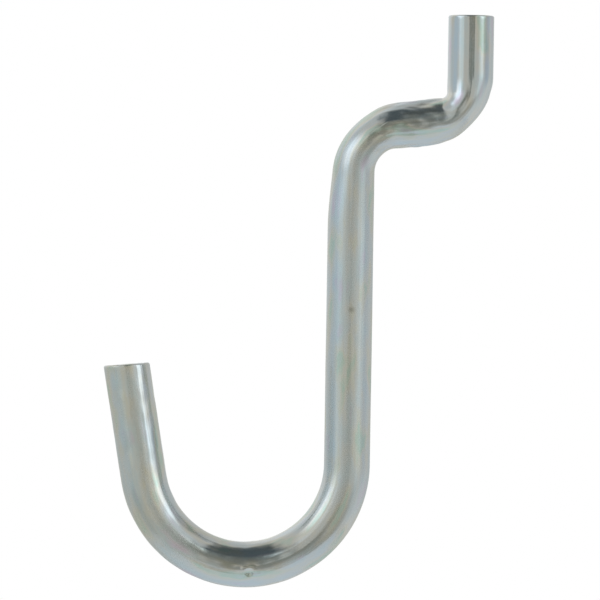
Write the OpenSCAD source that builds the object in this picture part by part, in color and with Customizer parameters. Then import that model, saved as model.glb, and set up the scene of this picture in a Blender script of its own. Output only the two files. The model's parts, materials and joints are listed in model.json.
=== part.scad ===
// Pegboard hook: one length of zinc-plated round steel wire, bent in one plane.
// The peg goes through a hole and stands up behind the board, and the leg lies in the hole.
// The shank lies against the front, and the round hook below it carries what is hung there.
// Sizes are in millimetres and angles in degrees.
// The origin is the middle of the straight peg, +Z is up and +X points into the board.

/* [Wire] */
// Diameter of the round wire, 3/16 in
wire_d = 4.76; // [3:0.01:6.35]
// Rounding of the edge at each cut end
end_round = 0.2; // [0.1:0.05:0.8]

/* [Peg behind the board] */
// Straight length of the upright peg above its bend
peg_len = 7.95; // [5:0.05:20]
// Inside radius of the bend between the peg and the leg
peg_bend_r = 0.7; // [0.4:0.1:1.5]
// Share of the wire's thickness lost on the outside of that bend
peg_bend_thin = 0.17; // [0.02:0.01:0.25]

/* [Leg through the board] */
// Clear gap between the shank's back and the peg's front, where the board goes
board_gap = 7.4; // [6:0.1:14]
// Rise of the leg from the shank towards the peg
leg_rise = 5.5; // [0:0.5:12]

/* [Shank in front of the board] */
// Straight length of the shank between the shoulder and the round hook
shank_len = 30.3; // [10:0.1:120]
// Inside radius of the shoulder, the bend between the leg and the shank
shoulder_r = 2.5; // [0.6:0.1:3]
// Share of the wire's thickness lost on the outside of the shoulder
shoulder_thin = 0.12; // [0.02:0.01:0.25]
// Length of shank below the shoulder that the bending also flattens
shank_run = 6; // [0.4:0.1:8]

/* [Round hook] */
// Inside radius of the round hook
hook_r = 8.2; // [4:0.1:40]
// Straight length of the tip
tip_len = 11.9; // [4:0.1:60]
// Lean of the tip away from the shank
tip_lean = 9.6; // [0:0.2:40]
// Slant of the cut across the tip, which leaves its outer side the longer one
tip_cut = 4.5; // [0:0.5:12]

/* [Tight bends] */
// Length of the peg and of the leg beside a tight bend that the bending also flattens
flat_run = 1.5; // [0.4:0.1:2]
// Widening of the wire across a tight bend, as a share of its diameter
bend_swell = 0.03; // [0.01:0.01:0.1]
// How much narrower a tight bend is towards its outside and wider towards its inside, as a share
bend_taper = 0.2; // [0:0.05:0.3]

/* [Hidden] */
$fn = 96;

zinc_colour = [0.74, 0.75, 0.74];
wire_r = wire_d / 2;
corner_turn = 90 - leg_rise;
hook_turn = 180 - tip_lean;

// The leg runs from corner to corner of the wire's centre line, less what the two bends take up
leg_corners = (board_gap + wire_d) / cos(leg_rise);
bends_take = (peg_bend_r + shoulder_r + wire_d) * tan(corner_turn / 2);
leg_len = leg_corners - bends_take;
leg_run = min(flat_run, leg_len / 3);

// A tight bend is lofted through rings that sit just inside the round wire and lap into it
loft_rows = 20;
loft_sides = 40;
loft_r = wire_r - 0.02;
loft_lap = 0.3;

// The form that trims a slanted end opens out below its rounded edge, just inside the round wire
trim_r = wire_r - 0.01;
trim_flare = 20;

// The wire is made in order from the peg down: it runs along +Z and bends towards +X

module after_straight(length) {
    translate([0, 0, length])
        children();
}

module after_bend(inside_r, turn) {
    bend_r = inside_r + wire_r;
    translate([bend_r, 0, 0])
        rotate([0, turn, 0])
            translate([-bend_r, 0, 0])
                children();
}

// A plain stretch of wire, from one height to another
module straight(from, to) {
    translate([0, 0, from])
        cylinder(r = wire_r, h = to - from);
}

// A last stretch of wire, cut square with its edge rounded
module cut_end(from, to) {
    length = to - from;
    translate([0, 0, from])
        rotate_extrude() {
            square([wire_r - end_round, length]);
            square([wire_r, length - end_round]);
            translate([wire_r - end_round, length - end_round])
                circle(r = end_round);
        }
}

// A last stretch of wire, cut at a slant to square with its edge rounded
module slanted_end(from, to, slant) {
    trim_len = to - from + wire_d;
    flare_r = trim_r + trim_len * tan(trim_flare);
    intersection() {
        straight(from, to + wire_r);
        translate([0, 0, to])
            rotate([0, slant, 0])
                rotate_extrude() {
                    polygon([
                        [0, -end_round],
                        [trim_r, -end_round],
                        [flare_r, -end_round - trim_len],
                        [0, -end_round - trim_len]
                    ]);
                    translate([0, -end_round])
                        square([trim_r - end_round, end_round]);
                    translate([trim_r - end_round, -end_round])
                        circle(r = end_round);
                }
    }
}

// An easy bend, in which the wire stays round
module round_bend(inside_r, turn) {
    bend_r = inside_r + wire_r;
    translate([bend_r, 0, 0])
        rotate([90, 0, 180])
            rotate_extrude(angle = turn)
                translate([bend_r, 0])
                    circle(r = wire_r);
}

// How far the bending presses the wire: all in the middle of the bend, fading to nothing on both sides
function pressed(from_middle, before, after) =
    pow(cos(90 * min(1, from_middle < 0 ? -from_middle / before : from_middle / after)), 2);

// The turn made so far, the place on the centre line and the direction to the outside of a bend
function turn_at(s, arc_len, turn) = turn * max(0, min(1, s / arc_len));
function past_arc(s, arc_len) = min(s, 0) + max(s - arc_len, 0);
function outward(a) = [-cos(a), 0, sin(a)];
function heading(a) = [sin(a), 0, cos(a)];
function centre_at(s, arc_len, turn, bend_r) =
    let (a = turn_at(s, arc_len, turn))
    [bend_r, 0, 0] + bend_r * outward(a) + past_arc(s, arc_len) * heading(a);

// One ring of a tight bend: squeezed wider towards the inside, flatter and narrower towards the outside
function bend_ring(centre, out, press, thin) = [
    for (k = [0 : loft_sides - 1])
        let (
            angle = 360 * k / loft_sides,
            keep = cos(angle) > 0 ? 1 - 2 * thin * press : 1,
            swell = 1 + press * (bend_swell - bend_taper * cos(angle))
        )
        centre + loft_r * (keep * cos(angle) * out + swell * sin(angle) * [0, 1, 0])
];

// A tight cold bend, with the runs of straight wire before and after it that are pressed too
module tight_bend(inside_r, turn, thin, run_in, run_out) {
    bend_r = inside_r + wire_r;
    arc_len = bend_r * turn * PI / 180;
    pressed_len = run_in + arc_len + run_out;
    shares = [for (i = [1 : loft_rows - 1]) i / loft_rows];
    stops = concat(
        [-run_in - loft_lap],
        [for (share = shares) share * pressed_len - run_in],
        [arc_len + run_out + loft_lap]
    );
    rings = [
        for (s = stops)
            bend_ring(
                centre_at(s, arc_len, turn, bend_r),
                outward(turn_at(s, arc_len, turn)),
                pressed(s - arc_len / 2, arc_len / 2 + run_in, arc_len / 2 + run_out),
                thin
            )
    ];
    points = [for (ring = rings) each ring];
    last_row = len(rings) - 1;
    skin = [
        for (i = [0 : last_row - 1], k = [0 : loft_sides - 1])
            let (
                a = i * loft_sides + k,
                b = i * loft_sides + (k + 1) % loft_sides,
                c = b + loft_sides,
                d = a + loft_sides
            )
            each [[a, b, d], [b, c, d]]
    ];
    first_cap = [for (k = [0 : loft_sides - 1]) loft_sides - 1 - k];
    last_cap = [for (k = [0 : loft_sides - 1]) last_row * loft_sides + k];
    polyhedron(points = points, faces = concat(skin, [first_cap, last_cap]));
}

// The peg stands on the origin, and the rest of the wire follows from its foot
module peg() {
    cut_end(flat_run - peg_len / 2, peg_len / 2);
}

module hook_and_tip() {
    round_bend(hook_r, hook_turn);
    after_bend(hook_r, hook_turn)
        slanted_end(0, tip_len, tip_cut);
}

module shoulder_and_below() {
    tight_bend(shoulder_r, corner_turn, shoulder_thin, leg_run, shank_run);
    after_bend(shoulder_r, corner_turn) {
        straight(shank_run, shank_len);
        after_straight(shank_len)
            mirror([1, 0, 0])
                hook_and_tip();
    }
}

module leg_and_below() {
    tight_bend(peg_bend_r, corner_turn, peg_bend_thin, flat_run, leg_run);
    after_bend(peg_bend_r, corner_turn) {
        straight(leg_run, leg_len - leg_run);
        after_straight(leg_len)
            mirror([1, 0, 0])
                shoulder_and_below();
    }
}

module hook() {
    color(zinc_colour)
        union() {
            peg();
            translate([0, 0, -peg_len / 2])
                rotate([0, 180, 0])
                    leg_and_below();
        }
}

hook();
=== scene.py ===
import json
import math

import bmesh
import bpy
from mathutils import Matrix, Vector


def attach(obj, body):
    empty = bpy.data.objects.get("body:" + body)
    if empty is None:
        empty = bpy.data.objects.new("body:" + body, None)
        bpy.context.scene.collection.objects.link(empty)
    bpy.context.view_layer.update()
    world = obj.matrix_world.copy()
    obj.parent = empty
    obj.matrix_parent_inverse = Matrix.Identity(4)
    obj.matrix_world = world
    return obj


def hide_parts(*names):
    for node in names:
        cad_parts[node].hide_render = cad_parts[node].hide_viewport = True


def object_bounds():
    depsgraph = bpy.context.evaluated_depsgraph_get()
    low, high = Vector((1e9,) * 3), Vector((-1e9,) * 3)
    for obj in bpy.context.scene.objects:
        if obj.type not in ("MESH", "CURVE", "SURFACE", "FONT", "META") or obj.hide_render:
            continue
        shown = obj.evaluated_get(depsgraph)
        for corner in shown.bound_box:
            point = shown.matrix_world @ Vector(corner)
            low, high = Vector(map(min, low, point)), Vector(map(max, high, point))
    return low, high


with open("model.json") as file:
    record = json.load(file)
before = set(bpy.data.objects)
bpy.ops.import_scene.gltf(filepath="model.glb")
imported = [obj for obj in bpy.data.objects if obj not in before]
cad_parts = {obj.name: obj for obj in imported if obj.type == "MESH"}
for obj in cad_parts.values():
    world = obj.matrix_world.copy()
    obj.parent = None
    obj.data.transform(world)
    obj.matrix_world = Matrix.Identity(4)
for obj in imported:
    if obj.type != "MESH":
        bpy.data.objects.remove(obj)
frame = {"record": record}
cad_low, cad_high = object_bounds()

# The wire
# One length of round drawn steel wire, bent cold in one plane and cut off with a shear at both ends.
# Bending it round small pins has pressed the outside of the two tight corners flat and swollen them
# sideways. The tooling has left the leg uneven, a flat along the peg and a ragged nick under the hook.

MM = 0.001
mounts = {mount["name"]: mount for mount in frame["record"]["mounts"]}

# Sizes in millimetres and angles in degrees
wire_r = mounts["board_peg"]["dims"]["r_mm"]
end_round = 0.2
peg_len = 2 * cad_high.z / MM
peg_bend_r = 0.7
peg_bend_thin = 0.17
board_gap = 7.4
leg_rise = 5.5
shank_len = 30.3
shoulder_r = 2.5
shoulder_thin = 0.12
shank_run = 6.0
hook_r = 8.2
tip_len = 11.9
tip_lean = 9.6
tip_cut = 4.5
flat_run = 1.5
bend_swell = 0.03
bend_taper = 0.2

corner_turn = math.radians(90 - leg_rise)
hook_turn = math.radians(180 - tip_lean)
leg_corners = (board_gap + 2 * wire_r) / math.cos(math.radians(leg_rise))
bends_take = (peg_bend_r + shoulder_r + 2 * wire_r) * math.tan(corner_turn / 2)
leg_len = leg_corners - bends_take

# The centre line from the peg's end down to the tip: each stretch's length and the angle it turns through
peg_bend_len = (peg_bend_r + wire_r) * corner_turn
shoulder_len = (shoulder_r + wire_r) * corner_turn
hook_len = (hook_r + wire_r) * hook_turn
stretches = [
    (peg_len, 0),
    (peg_bend_len, corner_turn),
    (leg_len, 0),
    (shoulder_len, -corner_turn),
    (shank_len, 0),
    (hook_len, hook_turn),
    (tip_len, 0),
]
wire_len = sum(length for length, turn in stretches)
leg_start = peg_len + peg_bend_len
shoulder_start = leg_start + leg_len
shank_start = shoulder_start + shoulder_len
hook_start = shank_start + shank_len
tip_start = hook_start + hook_len


def onward(heading):
    """The direction of the wire: straight down at 0, and turning towards the tip's side."""
    return Vector((-math.sin(heading), 0, -math.cos(heading)))


def sideways(heading):
    """The direction square to the wire in its plane, towards the board on the shank."""
    return Vector((math.cos(heading), 0, -math.sin(heading)))


def place_on_wire(distance):
    """The point of the centre line at a distance from the peg's end, and the heading there."""
    point = Vector((0, 0, peg_len / 2))
    heading = 0.0
    for length, turn in stretches:
        done = max(0.0, min(distance, length))
        if turn:
            bend_r = length / turn
            centre = point - bend_r * sideways(heading)
            heading += turn * done / length
            point = centre + bend_r * sideways(heading)
        else:
            point = point + done * onward(heading)
        distance -= length
    return point, heading


def pressed(distance, bend_start, bend_len, run_in, run_out):
    """How far a tight bend is pressed: 1 in its middle, fading to nothing past its runs on both sides."""
    from_middle = distance - bend_start - bend_len / 2
    reach = bend_len / 2 + (run_in if from_middle < 0 else run_out)
    return math.cos(math.pi / 2 * min(1.0, abs(from_middle) / reach)) ** 2


def eased(value, low, high):
    """0 below low, 1 above high, and a smooth rise between them."""
    share = max(0.0, min(1.0, (value - low) / (high - low)))
    return share * share * (3 - 2 * share)


# The nick: how far before the lowest point of the hook, and how far below the middle of the front
nick_before_bottom = math.radians(3.2)
nick_below_front = math.radians(20)
nick_at = hook_start + (hook_r + wire_r) * (math.pi / 2 - nick_before_bottom)
nick_half_len = 0.6
nick_half_width = 0.6
nick_ragged = 1.1
nick_depth = 0.16
nick_lip = 0.02

# The flat on the peg: how far right of the middle of the front, its half width, its end and its fade
flat_right = math.radians(1)
flat_half_width = math.radians(8)
flat_end = peg_len - 0.5
flat_fade = 1.5

# Where tools made the wire uneven: the leg, and a little from just before the hook's bottom to the tip
uneven_start = peg_len + 2
uneven_end = shoulder_start + 4
hook_uneven = 0.2
hook_uneven_start = hook_start + 8
hook_uneven_full = hook_start + 14

# Rings of the wire's skin: their distance from the peg's end and their share of the full radius
face_rings = 8
edge_rings = 8
ring_step = 0.3
nick_step = 0.06
nick_reach = 1.5
face_share = 1 - end_round / wire_r
end_rings = [(0.0, face_share * ring / face_rings) for ring in range(face_rings)]
for ring in range(edge_rings + 1):
    angle = math.pi / 2 * ring / edge_rings
    end_rings.append((end_round * (1 - math.cos(angle)), face_share + (1 - face_share) * math.sin(angle)))


def evenly(low, high, step):
    """Distances from low to high, both left out, about a step apart."""
    count = math.ceil((high - low) / step)
    return [low + (high - low) * i / count for i in range(1, count)]


rings = list(end_rings)
for low, high, step in (
    (end_round, nick_at - nick_reach, ring_step),
    (nick_at - nick_reach, nick_at + nick_reach, nick_step),
    (nick_at + nick_reach, wire_len - end_round, ring_step),
):
    rings += [(distance, 1.0) for distance in evenly(low, high, step)]
rings += [(wire_len - distance, share) for distance, share in reversed(end_rings)]

# One point of the centre line for each ring, with what the ring's shape there depends on
cut_reach = 3.0
points = []
facts = {"across": [], "way": [], "section": [], "run": [], "tooling": []}
for distance, share in rings:
    point, heading = place_on_wire(distance)
    points.append(point * MM)

    # The last rings of the tip lean over until they lie along its slanted cut
    slant = math.tan(math.radians(tip_cut)) * eased(distance, wire_len - cut_reach, wire_len)
    facts["across"].append(sideways(heading) + slant * onward(heading))
    facts["way"].append(onward(heading))

    # What the two tight bends leave of the thickness on their outsides, and how they widen the wire
    peg_press = pressed(distance, peg_len, peg_bend_len, flat_run, flat_run)
    shoulder_press = pressed(distance, shoulder_start, shoulder_len, flat_run, shank_run)
    facts["section"].append((
        1 - 2 * peg_bend_thin * peg_press,
        1 - 2 * shoulder_thin * shoulder_press,
        1 + bend_swell * (peg_press + shoulder_press),
    ))
    facts["run"].append((distance, share, bend_taper * (peg_press - shoulder_press)))

    # How uneven the tooling left the wire, and how firmly the jaws held it
    worked = eased(distance, uneven_start, leg_start)
    worked *= 1 - eased(distance, shoulder_start, uneven_end)
    worked += hook_uneven * eased(distance, hook_uneven_start, hook_uneven_full)
    held = 1 - eased(distance, flat_end - flat_fade, flat_end)
    facts["tooling"].append((worked, held, 0))

line_mesh = bpy.data.meshes.new("centre_line")
line_mesh.from_pydata(points, [], [])
for name, values in facts.items():
    attribute = line_mesh.attributes.new(name, "FLOAT_VECTOR", "POINT")
    attribute.data.foreach_set("vector", [number for value in values for number in value])
centre_line = bpy.data.objects.new("centre_line", line_mesh)
bpy.context.scene.collection.objects.link(centre_line)


def add_node(tree, kind, inputs=None, **settings):
    """Adds one node. An input is a plain value, a socket, or a node that gives its first output."""
    made = tree.nodes.new(kind)
    for name, value in settings.items():
        setattr(made, name, value)
    for key, value in (inputs or {}).items():
        if isinstance(value, bpy.types.Node):
            value = value.outputs[0]
        if isinstance(value, bpy.types.NodeSocket):
            tree.links.new(value, made.inputs[key])
        else:
            made.inputs[key].default_value = value
    return made


# The skin: a sheet of rings by sides is rolled round the centre line and closed, then dented and made uneven
skin = bpy.data.node_groups.new("wire skin", "GeometryNodeTree")
skin_inputs = {
    "Centre line": "NodeSocketGeometry",
    "Wire radius": "NodeSocketFloat",
    "Sides": "NodeSocketInt",
    "Waviness": "NodeSocketFloat",
    "Worked waviness": "NodeSocketFloat",
    "Wave size": "NodeSocketVector",
    "Wave seed": "NodeSocketFloat",
    "Die lines": "NodeSocketFloat",
    "Die line size": "NodeSocketVector",
    "Flat facing": "NodeSocketVector",
    "Flat distance": "NodeSocketFloat",
    "Nick place": "NodeSocketVector",
    "Nick half size": "NodeSocketVector",
    "Nick ragged size": "NodeSocketVector",
    "Nick depth": "NodeSocketFloat",
    "Nick lip": "NodeSocketFloat",
    "Finish": "NodeSocketMaterial",
}
sockets = {
    name: skin.interface.new_socket(name, in_out="INPUT", socket_type=kind)
    for name, kind in skin_inputs.items()
}
skin.interface.new_socket("Wire", in_out="OUTPUT", socket_type="NodeSocketGeometry")
given = add_node(skin, "NodeGroupInput").outputs

# The flat sheet, and the ring and the angle round the wire that each of its points is meant for
ring_count = add_node(skin, "GeometryNodeAttributeDomainSize", {"Geometry": given["Centre line"]})
columns = add_node(skin, "ShaderNodeMath", {0: given["Sides"], 1: 1.0}, operation="ADD")
sheet = add_node(skin, "GeometryNodeMeshGrid", {
    "Vertices X": ring_count.outputs["Point Count"],
    "Vertices Y": columns,
})
index = add_node(skin, "GeometryNodeInputIndex")
rings_before = add_node(skin, "ShaderNodeMath", {0: index, 1: columns}, operation="DIVIDE")
ring_of = add_node(skin, "ShaderNodeMath", {0: rings_before}, operation="FLOOR")
side_of = add_node(skin, "ShaderNodeMath", {0: index, 1: columns}, operation="FLOORED_MODULO")
turn_share = add_node(skin, "ShaderNodeMath", {0: side_of, 1: given["Sides"]}, operation="DIVIDE")
side_angle = add_node(skin, "ShaderNodeMath", {0: turn_share, 1: math.tau}, operation="MULTIPLY")
cosine = add_node(skin, "ShaderNodeMath", {0: side_angle}, operation="COSINE")
sine = add_node(skin, "ShaderNodeMath", {0: side_angle}, operation="SINE")

# What the centre line holds at the point's ring
fields = {"centre": add_node(skin, "GeometryNodeInputPosition")}
for name in facts:
    fields[name] = add_node(skin, "GeometryNodeInputNamedAttribute", {
        "Name": name,
    }, data_type="FLOAT_VECTOR")
on_ring = {}
for name, field in fields.items():
    on_ring[name] = add_node(skin, "GeometryNodeSampleIndex", {
        "Geometry": given["Centre line"],
        "Value": field,
        "Index": ring_of,
    }, data_type="FLOAT_VECTOR", domain="POINT", clamp=True)
peg_keep, shoulder_keep, swell = add_node(skin, "ShaderNodeSeparateXYZ", {0: on_ring["section"]}).outputs
along, radius_share, taper = add_node(skin, "ShaderNodeSeparateXYZ", {0: on_ring["run"]}).outputs
tooling = add_node(skin, "ShaderNodeSeparateXYZ", {0: on_ring["tooling"]}).outputs

# The point's place on its ring, pressed on the outside of a tight bend and swollen sideways
board_side = add_node(skin, "ShaderNodeMath", {0: cosine, 1: 0.0}, operation="GREATER_THAN")
keep = add_node(skin, "ShaderNodeMix", {0: board_side, 2: shoulder_keep, 3: peg_keep}, data_type="FLOAT")
radius = add_node(skin, "ShaderNodeMath", {0: given["Wire radius"], 1: radius_share}, operation="MULTIPLY")
round_x = add_node(skin, "ShaderNodeMath", {0: radius, 1: cosine}, operation="MULTIPLY")
round_y = add_node(skin, "ShaderNodeMath", {0: radius, 1: sine}, operation="MULTIPLY")
pressed_x = add_node(skin, "ShaderNodeMath", {0: round_x, 1: keep}, operation="MULTIPLY")
narrowing = add_node(skin, "ShaderNodeMath", {0: cosine, 1: taper}, operation="MULTIPLY")
widening = add_node(skin, "ShaderNodeMath", {0: swell, 1: narrowing}, operation="SUBTRACT")
swollen_y = add_node(skin, "ShaderNodeMath", {0: round_y, 1: widening}, operation="MULTIPLY")
in_plane = add_node(skin, "ShaderNodeVectorMath", {
    0: on_ring["across"],
    "Scale": pressed_x,
}, operation="SCALE")
off_plane = add_node(skin, "ShaderNodeCombineXYZ", {1: swollen_y})
offset = add_node(skin, "ShaderNodeVectorMath", {0: in_plane, 1: off_plane}, operation="ADD")
offset_m = add_node(skin, "ShaderNodeVectorMath", {0: offset, "Scale": MM}, operation="SCALE")
skin_place = add_node(skin, "ShaderNodeVectorMath", {0: on_ring["centre"], 1: offset_m}, operation="ADD")
rolled = add_node(skin, "GeometryNodeSetPosition", {"Geometry": sheet, "Position": skin_place})

# Each point keeps its place on the straight wire before it was bent, and how the tools worked it there
merge_distance = 0.001 * MM
straight_place = add_node(skin, "ShaderNodeCombineXYZ", {0: along, 1: round_x, 2: round_y})
cut_share = add_node(skin, "ShaderNodeMapRange", {
    "Value": radius_share,
    "From Min": 1.0,
    "From Max": face_share,
})
marked = rolled
for name, kind, value in (
    ("straight_wire", "FLOAT_VECTOR", straight_place),
    ("wire_way", "FLOAT_VECTOR", on_ring["way"]),
    ("worked", "FLOAT", tooling[0]),
    ("held", "FLOAT", tooling[1]),
    ("cut_face", "FLOAT", cut_share),
):
    marked = add_node(skin, "GeometryNodeStoreNamedAttribute", {
        "Geometry": marked,
        "Name": name,
        "Value": value,
    }, data_type=kind, domain="POINT")
closed = add_node(skin, "GeometryNodeMergeByDistance", {"Geometry": marked, "Distance": merge_distance})
kept = {}
for name, kind in (("straight_wire", "FLOAT_VECTOR"), ("worked", "FLOAT"), ("held", "FLOAT")):
    kept[name] = add_node(skin, "GeometryNodeInputNamedAttribute", {"Name": name}, data_type=kind)

# Slow waves, highest where the tooling worked the wire, with heights from about -1 to 1
noise_low = 0.25
noise_high = 0.75
wave_place = add_node(skin, "ShaderNodeVectorMath", {
    0: kept["straight_wire"],
    1: given["Wave size"],
}, operation="DIVIDE")
waves = add_node(skin, "ShaderNodeTexNoise", {
    "Vector": wave_place,
    "W": given["Wave seed"],
    "Scale": 1.0,
    "Detail": 1.0,
}, noise_dimensions="4D")
wave_height = add_node(skin, "ShaderNodeMapRange", {
    "Value": waves,
    "From Min": noise_low,
    "From Max": noise_high,
    "To Min": -1.0,
    "To Max": 1.0,
}, clamp=False)
wave_size = add_node(skin, "ShaderNodeMath", {
    0: kept["worked"],
    1: given["Worked waviness"],
    2: given["Waviness"],
}, operation="MULTIPLY_ADD")
waved = add_node(skin, "ShaderNodeMath", {0: wave_height, 1: wave_size}, operation="MULTIPLY")

# Low ridges along the wire from the drawing die, rubbed out where the jaws held it
line_at = add_node(skin, "ShaderNodeVectorMath", {
    0: kept["straight_wire"],
    1: given["Die line size"],
}, operation="DIVIDE")
die_lines = add_node(skin, "ShaderNodeTexNoise", {
    "Vector": line_at,
    "Scale": 1.0,
    "Detail": 2.0,
}, noise_dimensions="3D")
line_height = add_node(skin, "ShaderNodeMapRange", {
    "Value": die_lines,
    "From Min": noise_low,
    "From Max": noise_high,
    "To Min": -1.0,
    "To Max": 1.0,
}, clamp=False)
line_left = add_node(skin, "ShaderNodeMapRange", {
    "Value": kept["held"],
    "To Min": given["Die lines"],
    "To Max": 0.0,
})
lined = add_node(skin, "ShaderNodeMath", {0: line_height, 1: line_left, 2: waved}, operation="MULTIPLY_ADD")

# The flat that the jaws left on the peg takes off what stands past it
reach_out = add_node(skin, "ShaderNodeVectorMath", {
    0: kept["straight_wire"],
    1: given["Flat facing"],
}, operation="DOT_PRODUCT")
past_flat = add_node(skin, "ShaderNodeMath", {
    0: reach_out.outputs["Value"],
    1: given["Flat distance"],
}, operation="SUBTRACT")
over_flat = add_node(skin, "ShaderNodeMath", {0: past_flat, 1: 0.0}, operation="MAXIMUM")
pressed_off = add_node(skin, "ShaderNodeMath", {0: over_flat, 1: kept["held"]}, operation="MULTIPLY")
flattened = add_node(skin, "ShaderNodeMath", {0: lined, 1: pressed_off}, operation="SUBTRACT")

# The nick: a hollow with a ragged outline and a low lip, in shares of its half size from its middle
ragged_low = 0.3
ragged_high = 0.7
ragged_wide = 0.75
ragged_narrow = 1.3
hollow_floor = 0.3
lip_middle = 1.15
lip_half_width = 0.4
from_nick = add_node(skin, "ShaderNodeVectorMath", {
    0: kept["straight_wire"],
    1: given["Nick place"],
}, operation="SUBTRACT")
nick_units = add_node(skin, "ShaderNodeVectorMath", {
    0: from_nick,
    1: given["Nick half size"],
}, operation="DIVIDE")
nick_apart = add_node(skin, "ShaderNodeVectorMath", {0: nick_units}, operation="LENGTH")
ragged_place = add_node(skin, "ShaderNodeVectorMath", {
    0: kept["straight_wire"],
    1: given["Nick ragged size"],
}, operation="DIVIDE")
ragged = add_node(skin, "ShaderNodeTexNoise", {
    "Vector": ragged_place,
    "Scale": 1.0,
    "Detail": 0.0,
}, noise_dimensions="3D")
ragged_share = add_node(skin, "ShaderNodeMapRange", {
    "Value": ragged,
    "From Min": ragged_low,
    "From Max": ragged_high,
    "To Min": ragged_wide,
    "To Max": ragged_narrow,
})
nick_reached = add_node(skin, "ShaderNodeMath", {
    0: nick_apart.outputs["Value"],
    1: ragged_share,
}, operation="MULTIPLY")
nick_hollow = add_node(skin, "ShaderNodeMapRange", {
    "Value": nick_reached,
    "From Min": 1.0,
    "From Max": hollow_floor,
}, interpolation_type="SMOOTHSTEP")
lip_apart = add_node(skin, "ShaderNodeMath", {0: nick_reached, 1: lip_middle}, operation="SUBTRACT")
lip_off = add_node(skin, "ShaderNodeMath", {0: lip_apart}, operation="ABSOLUTE")
lip_rise = add_node(skin, "ShaderNodeMapRange", {
    "Value": lip_off,
    "From Min": lip_half_width,
    "From Max": 0.0,
}, interpolation_type="SMOOTHSTEP")
hollow = add_node(skin, "ShaderNodeMath", {0: nick_hollow, 1: given["Nick depth"]}, operation="MULTIPLY")
dented = add_node(skin, "ShaderNodeMath", {0: flattened, 1: hollow}, operation="SUBTRACT")
raised = add_node(skin, "ShaderNodeMath", {
    0: lip_rise,
    1: given["Nick lip"],
    2: dented,
}, operation="MULTIPLY_ADD")

# The skin moves out or in by all of that and takes its finish
raised_m = add_node(skin, "ShaderNodeMath", {0: raised, 1: MM}, operation="MULTIPLY")
outwards = add_node(skin, "GeometryNodeInputNormal")
moved_out = add_node(skin, "ShaderNodeVectorMath", {0: outwards, "Scale": raised_m}, operation="SCALE")
uneven = add_node(skin, "GeometryNodeSetPosition", {"Geometry": closed, "Offset": moved_out})
smooth = add_node(skin, "GeometryNodeSetShadeSmooth", {"Geometry": uneven})
realized = add_node(skin, "GeometryNodeRealizeInstances", {"Geometry": smooth})
finished = add_node(skin, "GeometryNodeSetMaterial", {"Geometry": realized, "Material": given["Finish"]})
add_node(skin, "NodeGroupOutput", {"Wire": finished})

# Zinc plate, clear-passivated: a bright barrel-plated skin a few thousandths of a millimetre thick, with a
# tiny pit. It follows the wire's drawing lines, and its film tints the grey faintly in slow patches. It is
# milkier on the shank and outside the tip, rougher where the tools worked, smoother where the jaws held.


def linear(hex_colour):
    """An sRGB hex colour as linear red, green, blue and alpha."""
    parts = [int(hex_colour[i:i + 2], 16) / 255 for i in (1, 3, 5)]
    return (*[p / 12.92 if p <= 0.04045 else ((p + 0.055) / 1.055) ** 2.4 for p in parts], 1.0)


zinc = bpy.data.materials.new("clear-passivated zinc plate")
zinc.use_nodes = True
plate = zinc.node_tree
shader = plate.nodes["Principled BSDF"]
shader.inputs["Metallic"].default_value = 1.0

on_wire = add_node(plate, "ShaderNodeAttribute", attribute_name="straight_wire").outputs["Vector"]
wire_way = add_node(plate, "ShaderNodeAttribute", attribute_name="wire_way").outputs["Vector"]
worked_here = add_node(plate, "ShaderNodeAttribute", attribute_name="worked").outputs["Fac"]
held_here = add_node(plate, "ShaderNodeAttribute", attribute_name="held").outputs["Fac"]
cut_face = add_node(plate, "ShaderNodeAttribute", attribute_name="cut_face").outputs["Fac"]
along_wire, across_wire = add_node(plate, "ShaderNodeSeparateXYZ", {0: on_wire}).outputs[:2]

# Patches of film a few millimetres long, from lilac through blue-grey, straw and green to blue-grey again
film_patch = (5.0, 1.6, 1.6)
tints = (
    (0.28, "#c2bdc6"),
    (0.40, "#bcc5c6"),
    (0.50, "#c2c5c3"),
    (0.58, "#c6c5bb"),
    (0.66, "#b4c3b8"),
    (0.76, "#bfc3c6"),
)
film_place = add_node(plate, "ShaderNodeVectorMath", {0: on_wire, 1: film_patch}, operation="DIVIDE")
film = add_node(plate, "ShaderNodeTexNoise", {"Vector": film_place, "Scale": 1.0, "Detail": 3.0})
film_tint = add_node(plate, "ShaderNodeValToRGB", {"Fac": film})
ramp = film_tint.color_ramp.elements
for position, colour in tints[1:-1]:
    ramp.new(position)
for element, (position, colour) in zip(ramp, tints):
    element.position = position
    element.color = linear(colour)

# Drawing lines run along the wire, drawn coarser than the real ones so that they show
line_size = (14.0, 0.22, 0.22)
line_place = add_node(plate, "ShaderNodeVectorMath", {0: on_wire, 1: line_size}, operation="DIVIDE")
lines = add_node(plate, "ShaderNodeTexNoise", {"Vector": line_place, "Scale": 1.0, "Detail": 4.0})

# The plate's own grain, drawn coarser than the real crystals
grain_size = 0.16
grain_place = add_node(plate, "ShaderNodeVectorMath", {0: on_wire, 1: (grain_size,) * 3}, operation="DIVIDE")
grain = add_node(plate, "ShaderNodeTexNoise", {"Vector": grain_place, "Scale": 1.0, "Detail": 2.0})

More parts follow.
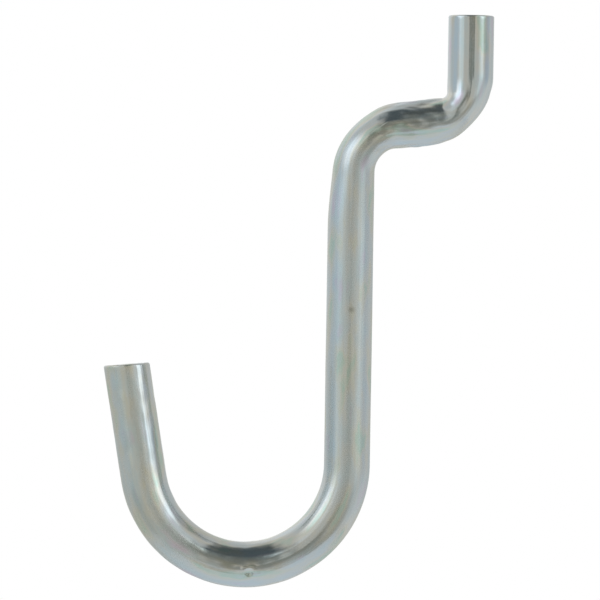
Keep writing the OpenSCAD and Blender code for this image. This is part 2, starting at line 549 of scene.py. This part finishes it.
# The milky stretches: the shank, and from the hook's bottom to the tip all but the inner side
shank_milk_start = shank_start - 6
shank_milk_full = shank_start - 1
shank_milk_end = hook_start + 11
tip_milk_start = tip_start - 15
tip_milk_full = tip_start - 6
inner_side = -0.9
outer_side = -0.5
past_shoulder = add_node(plate, "ShaderNodeMapRange", {
    "Value": along_wire,
    "From Min": shank_milk_start,
    "From Max": shank_milk_full,
}, interpolation_type="SMOOTHSTEP")
before_hook = add_node(plate, "ShaderNodeMapRange", {
    "Value": along_wire,
    "From Min": shank_milk_end,
    "From Max": hook_start,
}, interpolation_type="SMOOTHSTEP")
on_shank = add_node(plate, "ShaderNodeMath", {0: past_shoulder, 1: before_hook}, operation="MULTIPLY")
round_to_tip = add_node(plate, "ShaderNodeMapRange", {
    "Value": along_wire,
    "From Min": tip_milk_start,
    "From Max": tip_milk_full,
}, interpolation_type="SMOOTHSTEP")
to_outside = add_node(plate, "ShaderNodeMapRange", {
    "Value": across_wire,
    "From Min": inner_side,
    "From Max": outer_side,
}, interpolation_type="SMOOTHSTEP")
on_tip = add_node(plate, "ShaderNodeMath", {0: round_to_tip, 1: to_outside}, operation="MULTIPLY")

# Roughness follows the lines and the grain, and each place then adds its own
texture_low = 0.7
texture_high = 1.3
bright_roughness = 0.1
dull_roughness = 0.2
shank_milk = 0.13
tip_milk = 0.14
tool_scuff = 0.06
jaw_polish = -0.05
cut_roughness = 0.38
texture = add_node(plate, "ShaderNodeMath", {0: lines, 1: grain}, operation="ADD")
roughness = add_node(plate, "ShaderNodeMapRange", {
    "Value": texture,
    "From Min": texture_low,
    "From Max": texture_high,
    "To Min": bright_roughness,
    "To Max": dull_roughness,
})
for place, added in (
    (on_shank, shank_milk),
    (on_tip, tip_milk),
    (worked_here, tool_scuff),
    (held_here, jaw_polish),
):
    roughness = add_node(plate, "ShaderNodeMath", {
        0: place,
        1: added,
        2: roughness,
    }, operation="MULTIPLY_ADD")
roughness = add_node(plate, "ShaderNodeMix", {
    0: cut_face,
    2: roughness,
    3: cut_roughness,
}, data_type="FLOAT")

# The lines and the grain also stand up a little
bump_height = 0.05 * MM
line_bump_strength = 0.1
grain_bump_strength = 0.035
line_bump = add_node(plate, "ShaderNodeBump", {
    "Height": lines,
    "Strength": line_bump_strength,
    "Distance": bump_height,
})
grain_bump = add_node(plate, "ShaderNodeBump", {
    "Height": grain,
    "Strength": grain_bump_strength,
    "Distance": bump_height,
    "Normal": line_bump,
})

# The film's tint, a touch cooler on the shank and warmer on the tip, and dull grey in the pit on the shank
shank_cast = "#fdfefe"
tip_cast = "#fefdf8"
pit_grey = "#a3a49b"
pit_before_hook = 16
pit_right = 0.2
pit_reach = 0.5
pit_place = (hook_start - pit_before_hook, pit_right, -math.sqrt(wire_r ** 2 - pit_right ** 2))
shank_tint = add_node(plate, "ShaderNodeMix", {
    0: on_shank,
    6: film_tint,
    7: linear(shank_cast),
}, data_type="RGBA", blend_type="MULTIPLY")
tip_tint = add_node(plate, "ShaderNodeMix", {
    0: on_tip,
    6: shank_tint.outputs[2],
    7: linear(tip_cast),
}, data_type="RGBA", blend_type="MULTIPLY")
pit_apart = add_node(plate, "ShaderNodeVectorMath", {0: on_wire, 1: pit_place}, operation="DISTANCE")
in_pit = add_node(plate, "ShaderNodeMapRange", {
    "Value": pit_apart.outputs["Value"],
    "From Min": pit_reach,
    "From Max": 0.0,
}, interpolation_type="SMOOTHSTEP")
plate_tint = add_node(plate, "ShaderNodeMix", {
    0: in_pit,
    6: tip_tint.outputs[2],
    7: linear(pit_grey),
}, data_type="RGBA")

# The fine drawing lines spread a reflection across the wire and keep it sharp along it
grain_way = add_node(plate, "ShaderNodeVectorTransform", {0: wire_way}, vector_type="VECTOR")
shader.inputs["Anisotropic"].default_value = 0.7
shader.inputs["Anisotropic Rotation"].default_value = 0.25
plate.links.new(grain_way.outputs[0], shader.inputs["Tangent"])
plate.links.new(plate_tint.outputs[2], shader.inputs["Base Color"])
plate.links.new(roughness.outputs[0], shader.inputs["Roughness"])
plate.links.new(grain_bump.outputs[0], shader.inputs["Normal"])

# The wire takes its skin and finish, and stands for the CAD node
rolling = centre_line.modifiers.new("wire skin", "NODES")
rolling.node_group = skin
skin_values = {
    "Wire radius": wire_r,
    "Sides": 192,
    "Waviness": 0.004,
    "Worked waviness": 0.10,
    "Wave size": (2.4, 1.3, 1.3),
    "Wave seed": 54.9,
    "Die lines": 0.014,
    "Die line size": (12.0, 0.6, 0.6),
    "Flat facing": (0.0, math.sin(flat_right), -math.cos(flat_right)),
    "Flat distance": wire_r * math.cos(flat_half_width),
    "Nick place": (nick_at, wire_r * math.sin(nick_below_front), -wire_r * math.cos(nick_below_front)),
    "Nick half size": (nick_half_len, nick_half_width, nick_half_width),
    "Nick ragged size": (nick_ragged,) * 3,
    "Nick depth": nick_depth,
    "Nick lip": nick_lip,
    "Finish": zinc,
}
for name, value in skin_values.items():
    rolling[sockets[name].identifier] = value
evaluated = centre_line.evaluated_get(bpy.context.evaluated_depsgraph_get())
wire_mesh = bpy.data.meshes.new_from_object(evaluated)
centre_line.modifiers.remove(rolling)
bpy.data.objects.remove(centre_line)

bent_wire = bpy.data.objects.new("bent_wire", wire_mesh)
bpy.context.scene.collection.objects.link(bent_wire)
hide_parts("hook")
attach(bent_wire, "root")

# The studio
# A white tent with lamps at both sides and two small bright lights. In front of the hook hangs a dark
# strip that widens to an unlit opening above the camera. The camera sees the tent itself as plain white.

scene = bpy.context.scene
scene.view_settings.view_transform = "Standard"
studio = bpy.data.worlds.new("white tent")
scene.world = studio
studio.use_nodes = True
tent = studio.node_tree
sight = add_node(tent, "ShaderNodeTexCoord").outputs["Generated"]


def seen_from_hook(right, up):
    """A direction from the hook, in degrees right of and above the direction to the camera."""
    away = math.radians(math.hypot(right, up))
    spread = math.sin(away) / math.hypot(right, up)
    return Vector((spread * right, -math.cos(away), spread * up))


# Each patch of light: its place in degrees right and up, the degrees from there to where it is full and to
# where it ends, and the light it adds or takes. A place straight ahead is 0.01 off, as it can't be 0 and 0.
tent_walls = (0.70, 0.71, 0.705)
patches = (
    ((0.01, 180), 6, 20, (0.5, 0.5, 0.5)),
    ((-98, 92), 15, 42, (0.3, 0.3, 0.31)),
    ((90, -50), 10, 45, (0.14, 0.14, 0.14)),
    ((57, 24), 6, 21, (0.9, 0.96, 1.03)),
    ((-56, 27), 7, 23, (0.84, 0.91, 1.03)),
    ((-72, 38), 4, 13, (0.3, 0.32, 0.36)),
    ((-11, 25.5), 1.5, 5.5, (2.3, 2.35, 2.4)),
    ((14, 26.5), 2, 6.5, (3.0, 3.05, 3.0)),
    ((30, 26), 4, 16, (0.15, 0.16, 0.18)),
    ((-27, 25), 4, 16, (0.16, 0.18, 0.2)),
    ((54, 2), 4, 16, (0.22, 0.28, 0.29)),
    ((-48, 2), 4, 16, (0.18, 0.24, 0.25)),
    ((90, 6), 4, 20, (-0.18, -0.14, -0.07)),
    ((-84, 0), 4, 18, (-0.05, 0.0, 0.05)),
    ((62, 65), 5, 24, (-0.14, -0.15, -0.14)),
    ((40, -30), 5, 24, (-0.22, -0.22, -0.24)),
    ((-52, -30), 5, 24, (-0.22, -0.2, -0.22)),
    ((0.01, 0), 12, 55, (-0.01, -0.03, -0.07)),
    ((-75, 8), 15, 45, (-0.02, 0.02, 0.06)),
)
light = tent_walls
for place, full, fade, added in patches:
    facing = add_node(tent, "ShaderNodeVectorMath", {
        0: sight,
        1: seen_from_hook(*place),
    }, operation="DOT_PRODUCT")
    inside = add_node(tent, "ShaderNodeMapRange", {
        "Value": facing.outputs["Value"],
        "From Min": math.cos(math.radians(fade)),
        "From Max": math.cos(math.radians(full)),
    }, interpolation_type="SMOOTHSTEP")
    light = add_node(tent, "ShaderNodeVectorMath", {0: inside, 1: added, 2: light}, operation="MULTIPLY_ADD")

# The dark strip and the opening lean a little and widen away from the camera's level.
# Heights and half widths are parts of a direction of length 1.
gap_tilt = math.radians(-5.5)
gap_right = 0.055
strip_height = 0.03
strip_half_width = 0.065
opening_height = 0.5
opening_half_width = 0.355
edge_outside = 1.12
edge_inside = 0.72
gap_up = (math.sin(gap_tilt), 0, math.cos(gap_tilt))
gap_across = (math.cos(gap_tilt), 0, -math.sin(gap_tilt))
upward = add_node(tent, "ShaderNodeVectorMath", {0: sight, 1: gap_up}, operation="DOT_PRODUCT")
height = upward.outputs["Value"]
side = add_node(tent, "ShaderNodeVectorMath", {0: sight, 1: gap_across}, operation="DOT_PRODUCT")
from_middle = add_node(tent, "ShaderNodeMath", {
    0: side.outputs["Value"],
    1: gap_right,
}, operation="SUBTRACT")
off_middle = add_node(tent, "ShaderNodeMath", {0: from_middle}, operation="ABSOLUTE")
off_level = add_node(tent, "ShaderNodeMath", {0: height}, operation="ABSOLUTE")
gap_half_width = add_node(tent, "ShaderNodeMapRange", {
    "Value": off_level,
    "From Min": strip_height,
    "From Max": opening_height,
    "To Min": strip_half_width,
    "To Max": opening_half_width,
})
gap_share = add_node(tent, "ShaderNodeMath", {0: off_middle, 1: gap_half_width}, operation="DIVIDE")
in_gap = add_node(tent, "ShaderNodeMapRange", {
    "Value": gap_share,
    "From Min": edge_outside,
    "From Max": edge_inside,
}, interpolation_type="SMOOTHSTEP")

# How much light the strip and the opening above it take away, on the camera's side only
strip_foot = -0.75
strip_full = -0.2
strip_loss = 0.56
strip_shade = (-1.0, -0.97, -1.0)
opening_foot = 0.05
opening_full = 0.75
opening_loss = 0.3
opening_shade = (-1.0, -0.96, -0.84)
front_end = 0.25
front_full = -0.05
white = (1.0, 1.0, 1.0)
on_strip = add_node(tent, "ShaderNodeMapRange", {
    "Value": height,
    "From Min": strip_foot,
    "From Max": strip_full,
    "To Max": strip_loss,
})
on_opening = add_node(tent, "ShaderNodeMapRange", {
    "Value": height,
    "From Min": opening_foot,
    "From Max": opening_full,
    "To Max": opening_loss,
})
strip_dark = add_node(tent, "ShaderNodeVectorMath", {0: strip_shade, "Scale": on_strip}, operation="SCALE")
gap_dark = add_node(tent, "ShaderNodeVectorMath", {
    0: on_opening,
    1: opening_shade,
    2: strip_dark,
}, operation="MULTIPLY_ADD")
depth = add_node(tent, "ShaderNodeSeparateXYZ", {0: sight}).outputs["Y"]
in_front = add_node(tent, "ShaderNodeMapRange", {
    "Value": depth,
    "From Min": front_end,
    "From Max": front_full,
}, interpolation_type="SMOOTHSTEP")
gap = add_node(tent, "ShaderNodeMath", {0: in_gap, 1: in_front}, operation="MULTIPLY")
dimming = add_node(tent, "ShaderNodeVectorMath", {0: gap, 1: gap_dark, 2: white}, operation="MULTIPLY_ADD")
dimmed = add_node(tent, "ShaderNodeVectorMath", {0: light, 1: dimming}, operation="MULTIPLY")
looked_at = add_node(tent, "ShaderNodeLightPath").outputs["Is Camera Ray"]
shown = add_node(tent, "ShaderNodeMix", {0: looked_at, 6: dimmed, 7: (*white, 1.0)}, data_type="RGBA")
tent.links.new(shown.outputs[2], tent.nodes["Background"].inputs["Color"])

# The floor
# Matt white paper, far enough down to stay out of the picture. Towards its middle, below the hook, it
# carries a painted pool of light: its colour turns cooler and it glows a little, a painted glow that also
# lights the hook from below.

floor_drop = 200 * MM
floor_r = 0.3
floor_sides = 96
painted_glow_end = 0.6
painted_glow_full = 0.26
painted_glow_strength = 0.29
rim_paper = "#eceae8"
painted_pool_paper = "#e9f1f9"
floor_mesh = bpy.data.meshes.new("floor")
disc = bmesh.new()
bmesh.ops.create_circle(disc, cap_ends=True, segments=floor_sides, radius=floor_r)
bmesh.ops.translate(disc, verts=disc.verts, vec=(0, 0, cad_low.z - floor_drop))
disc.to_mesh(floor_mesh)
disc.free()
floor = bpy.data.objects.new("floor", floor_mesh)
scene.collection.objects.link(floor)

paper = bpy.data.materials.new("matt white paper with painted glow")
paper.use_nodes = True
paper_tree = paper.node_tree
paper_shader = paper_tree.nodes["Principled BSDF"]
paper_shader.inputs["Roughness"].default_value = 0.9
paper_place = add_node(paper_tree, "ShaderNodeTexCoord").outputs["Object"]
paper_reach = add_node(paper_tree, "ShaderNodeVectorMath", {0: paper_place}, operation="LENGTH")
# How far the painted pool of light reaches: full out to painted_glow_full from the middle, fading towards
# painted_glow_end
painted_pool_share = add_node(paper_tree, "ShaderNodeMapRange", {
    "Value": paper_reach.outputs["Value"],
    "From Min": painted_glow_end,
    "From Max": painted_glow_full,
})
# Painted light: the paper turns cooler towards the middle, and the same colour glows there
paper_and_painted_pool = add_node(paper_tree, "ShaderNodeMix", {
    0: painted_pool_share,
    6: linear(rim_paper),
    7: linear(painted_pool_paper),
}, data_type="RGBA")
painted_glow = add_node(paper_tree, "ShaderNodeMath", {0: painted_pool_share, 1: painted_glow_strength}, operation="MULTIPLY")
paper_tree.links.new(paper_and_painted_pool.outputs[2], paper_shader.inputs["Base Color"])
paper_tree.links.new(paper_and_painted_pool.outputs[2], paper_shader.inputs["Emission Color"])
paper_tree.links.new(painted_glow.outputs[0], paper_shader.inputs["Emission Strength"])
floor_mesh.materials.append(paper)

# The camera: level, square to the bent wire's plane, with a long lens and a slight roll
picture_width = 62.18 * MM
picture_centre = Vector((-17.29, 0, -25.765)) * MM
camera_distance = 650 * MM
picture_roll = math.radians(0.92)
lens = bpy.data.cameras.new("camera")
lens.sensor_width = 36
lens.lens = lens.sensor_width * camera_distance / picture_width
camera = bpy.data.objects.new("camera", lens)
scene.collection.objects.link(camera)
camera.matrix_world = (
    Matrix.Translation(picture_centre + Vector((0, -camera_distance, 0)))
    @ Matrix.Rotation(math.pi / 2, 4, "X")
    @ Matrix.Rotation(picture_roll, 4, "Z")
)
scene.camera = camera
